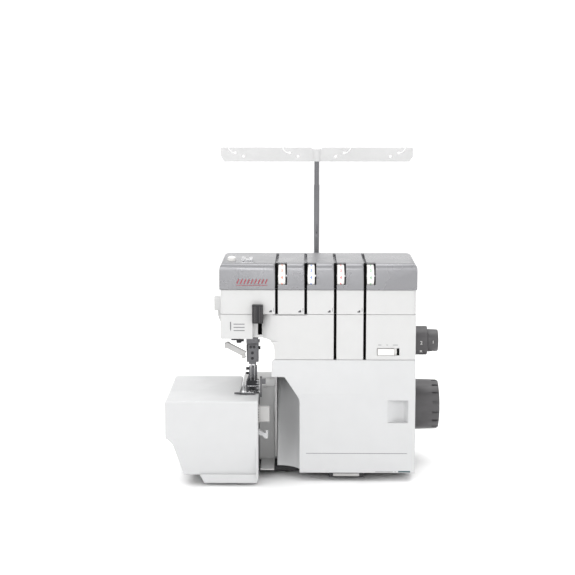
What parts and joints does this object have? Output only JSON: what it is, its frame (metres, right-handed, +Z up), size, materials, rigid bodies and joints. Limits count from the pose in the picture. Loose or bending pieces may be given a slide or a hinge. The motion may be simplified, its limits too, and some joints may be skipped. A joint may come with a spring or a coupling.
{
  "type": "serger overlock machine",
  "caption": "Free-standing overlock sewing machine with swing-away cloth plate, drop-down looper cover, side handwheel and raised telescopic thread guide.",
  "frame": {"origin": "on the floor, under the centre of the outer box", "axes": "+X towards the handwheel, -Y towards the operator, +Z up"},
  "size_m": [0.341, 0.3, 0.3962],
  "materials": {
    "white_casing": "satin moulded",
    "silver_cover": "fine silver paint",
    "dark_plastic": "matt",
    "knob_plastic": "satin",
    "dial_plastic": "satin",
    "guide_plastic": "satin",
    "grey_plastic": "satin",
    "bright_steel": "polished",
    "dark_steel": "satin",
    "frame_casting": "as cast",
    "rubber": "matt"
  },
  "bodies": {
    "frame": {"base_plate": "dark_plastic", "front_left_foot": "rubber", "front_right_foot": "rubber", "rear_left_foot": "rubber", "rear_right_foot": "rubber", "main_frame": "frame_casting", "rear_casing": "white_casing", "upper_front_panel": "white_casing", "lower_front_panel": "white_casing", "top_cover": "silver_cover", "bed_plate": "white_casing", "needle_plate": "bright_steel", "lower_knife": "bright_steel", "motor": "dark_steel", "drive_belt": "rubber", "head_floor_plate": "dark_plastic", "thread_cutter": "white_casing", "tension_dial_axle": "bright_steel", "top_thread_guide": "bright_steel", "power_inlet": "dark_plastic", "air_threading_unit": "grey_plastic", "spool_stand": "white_casing", "spool_holder_1": "guide_plastic", "spool_holder_2": "guide_plastic", "spool_holder_3": "guide_plastic", "spool_holder_4": "guide_plastic", "lower_pole": "bright_steel"},
    "main_shaft": {"main_shaft": "bright_steel", "handwheel": "knob_plastic"},
    "motor_pulley": {"motor_pulley": "bright_steel"},
    "needle_bar": {"needle_bar": "bright_steel", "needle_clamp": "dark_steel", "left_needle": "bright_steel", "right_needle": "bright_steel"},
    "presser_bar": {"presser_bar": "bright_steel", "presser_foot": "dark_steel"},
    "presser_foot_lever": {"presser_foot_lever": "white_casing"},
    "upper_knife": {"upper_knife": "dark_steel"},
    "upper_looper": {"upper_looper": "bright_steel"},
    "lower_looper": {"lower_looper": "bright_steel"},
    "main_feed_dog": {"main_feed_dog": "bright_steel"},
    "differential_feed_dog": {"differential_feed_dog": "bright_steel"},
    "threader_lever": {"threader_lever": "dark_plastic"},
    "threader_arm": {"threader_arm": "grey_plastic"},
    "tension_dial_1": {"tension_dial_1": "dial_plastic"},
    "tension_dial_2": {"tension_dial_2": "dial_plastic"},
    "tension_dial_3": {"tension_dial_3": "dial_plastic"},
    "tension_dial_4": {"tension_dial_4": "dial_plastic"},
    "stitch_length_dial": {"stitch_length_dial": "knob_plastic"},
    "differential_feed_dial": {"differential_feed_dial": "knob_plastic"},
    "tension_switch": {"tension_switch": "dial_plastic"},
    "pressure_dial": {"pressure_dial": "dial_plastic"},
    "power_switch": {"power_switch": "dark_plastic"},
    "cloth_plate": {"cloth_plate": "white_casing"},
    "cloth_plate_release": {"cloth_plate_release": "grey_plastic"},
    "cover_hinge_rod": {"cover_hinge_rod": "bright_steel"},
    "looper_cover": {"looper_cover": "white_casing"},
    "air_pump_lever": {"air_pump_lever": "knob_plastic"},
    "upper_pole": {"upper_pole": "bright_steel"},
    "thread_guide_bar": {"thread_guide_bar": "guide_plastic"}
  },
  "joints": [
    {"name": "handwheel_turn", "type": "hinge", "parent": "frame", "child": "main_shaft", "pos_m": [0, -0.02, 0.07329], "axis": [1, 0, 0], "continuous": true},
    {"name": "motor_turn", "type": "hinge", "parent": "frame", "child": "motor_pulley", "pos_m": [0, -0.02, 0.17066], "axis": [1, 0, 0], "continuous": true},
    {"name": "needle_bar_slide", "type": "slide", "parent": "frame", "child": "needle_bar", "axis": [0, 0, 1], "range_m": [-0.018, 0]},
    {"name": "presser_foot_lift", "type": "hinge", "parent": "frame", "child": "presser_foot_lever", "pos_m": [-0.106, -0.066, 0.2005], "axis": [1, 0, 0], "range_deg": [0, 28]},
    {"name": "presser_bar_slide", "type": "slide", "parent": "frame", "child": "presser_bar", "axis": [0, 0, 1], "range_m": [0, 0.006]},
    {"name": "upper_knife_slide", "type": "slide", "parent": "frame", "child": "upper_knife", "axis": [0, 0, 1], "range_m": [-0.006, 0]},
    {"name": "upper_looper_swing", "type": "hinge", "parent": "frame", "child": "upper_looper", "pos_m": [-0.066, -0.09, 0.04607], "axis": [0, 1, 0], "range_deg": [-5, 5]},
    {"name": "lower_looper_swing", "type": "hinge", "parent": "frame", "child": "lower_looper", "pos_m": [-0.076, -0.1, 0.06282], "axis": [0, 1, 0], "range_deg": [-5, 5]},
    {"name": "main_feed_slide", "type": "slide", "parent": "frame", "child": "main_feed_dog", "axis": [0, 1, 0], "range_m": [-0.001, 0.001]},
    {"name": "differential_feed_slide", "type": "slide", "parent": "frame", "child": "differential_feed_dog", "axis": [0, 1, 0], "range_m": [-0.001, 0.001]},
    {"name": "threader_lever_slide", "type": "slide", "parent": "frame", "child": "threader_lever", "axis": [0, 0, 1], "range_m": [-0.018, 0]},
    {"name": "threader_arm_swing", "type": "hinge", "parent": "frame", "child": "threader_arm", "pos_m": [-0.097, -0.103, 0.16647], "axis": [0, 1, 0], "range_deg": [0, 18]},
    {"name": "tension_dial_1_turn", "type": "hinge", "parent": "frame", "child": "tension_dial_1", "pos_m": [0, -0.103, 0.25233], "axis": [1, 0, 0], "range_deg": [-135, 135]},
    {"name": "tension_dial_2_turn", "type": "hinge", "parent": "frame", "child": "tension_dial_2", "pos_m": [0, -0.103, 0.25233], "axis": [1, 0, 0], "range_deg": [-135, 135]},
    {"name": "tension_dial_3_turn", "type": "hinge", "parent": "frame", "child": "tension_dial_3", "pos_m": [0, -0.103, 0.25233], "axis": [1, 0, 0], "range_deg": [-135, 135]},
    {"name": "tension_dial_4_turn", "type": "hinge", "parent": "frame", "child": "tension_dial_4", "pos_m": [0, -0.103, 0.25233], "axis": [1, 0, 0], "range_deg": [-135, 135]},
    {"name": "stitch_length_turn", "type": "hinge", "parent": "frame", "child": "stitch_length_dial", "pos_m": [0.14, -0.055, 0.16375], "axis": [1, 0, 0], "range_deg": [-120, 120]},
    {"name": "differential_feed_turn", "type": "hinge", "parent": "frame", "child": "differential_feed_dial", "pos_m": [0.155, -0.055, 0.16375], "axis": [1, 0, 0], "range_deg": [-90, 90]},
    {"name": "tension_switch_slide", "type": "slide", "parent": "frame", "child": "tension_switch", "axis": [1, 0, 0], "range_m": [0, 0.006]},
    {"name": "pressure_dial_turn", "type": "hinge", "parent": "frame", "child": "pressure_dial", "pos_m": [-0.092, -0.088, 0.26698], "axis": [0, 0, 1], "range_deg": [-150, 150]},
    {"name": "power_switch_rock", "type": "hinge", "parent": "frame", "child": "power_switch", "pos_m": [0.131, 0.0215, 0.07486], "axis": [0, 1, 0], "range_deg": [-6, 6]},
    {"name": "cloth_plate_swing", "type": "hinge", "parent": "frame", "child": "cloth_plate", "pos_m": [-0.14, -0.015, 0.05235], "axis": [0, 0, -1], "range_deg": [0, 80]},
    {"name": "cloth_plate_release_press", "type": "slide", "parent": "cloth_plate", "child": "cloth_plate_release", "axis": [-1, 0, 0], "range_m": [0, 0.003], "stiffness_N_per_m": 600, "springref_m": -0.001},
    {"name": "looper_cover_slide", "type": "slide", "parent": "frame", "child": "cover_hinge_rod", "axis": [1, 0, 0], "range_m": [0, 0.008]},
    {"name": "looper_cover_open", "type": "hinge", "parent": "cover_hinge_rod", "child": "looper_cover", "pos_m": [0.06, -0.109, 0.01623], "axis": [1, 0, 0], "range_deg": [0, 85]},
    {"name": "air_pump_press", "type": "hinge", "parent": "frame", "child": "air_pump_lever", "pos_m": [0.088, -0.105, 0.11308], "axis": [0, 1, 0], "range_deg": [0, 20], "stiffness_Nm_per_rad": 0.4},
    {"name": "pole_slide", "type": "slide", "parent": "frame", "child": "upper_pole", "axis": [0, 0, 1], "range_m": [-0.086, 0]},
    {"name": "thread_guide_turn", "type": "hinge", "parent": "upper_pole", "child": "thread_guide_bar", "pos_m": [0.0131, 0.1, 0.38739], "axis": [0, 0, 1], "range_deg": [-90, 90]}
  ],
  "couplings": [
    {"joint": "motor_turn", "follows": "handwheel_turn", "ratio": 3},
    {"joint": "presser_foot_lift", "follows": "presser_bar_slide", "rad_per_m": 72.7},
    {"joint": "threader_arm_swing", "follows": "threader_lever_slide", "rad_per_m": -14.544}
  ]
}
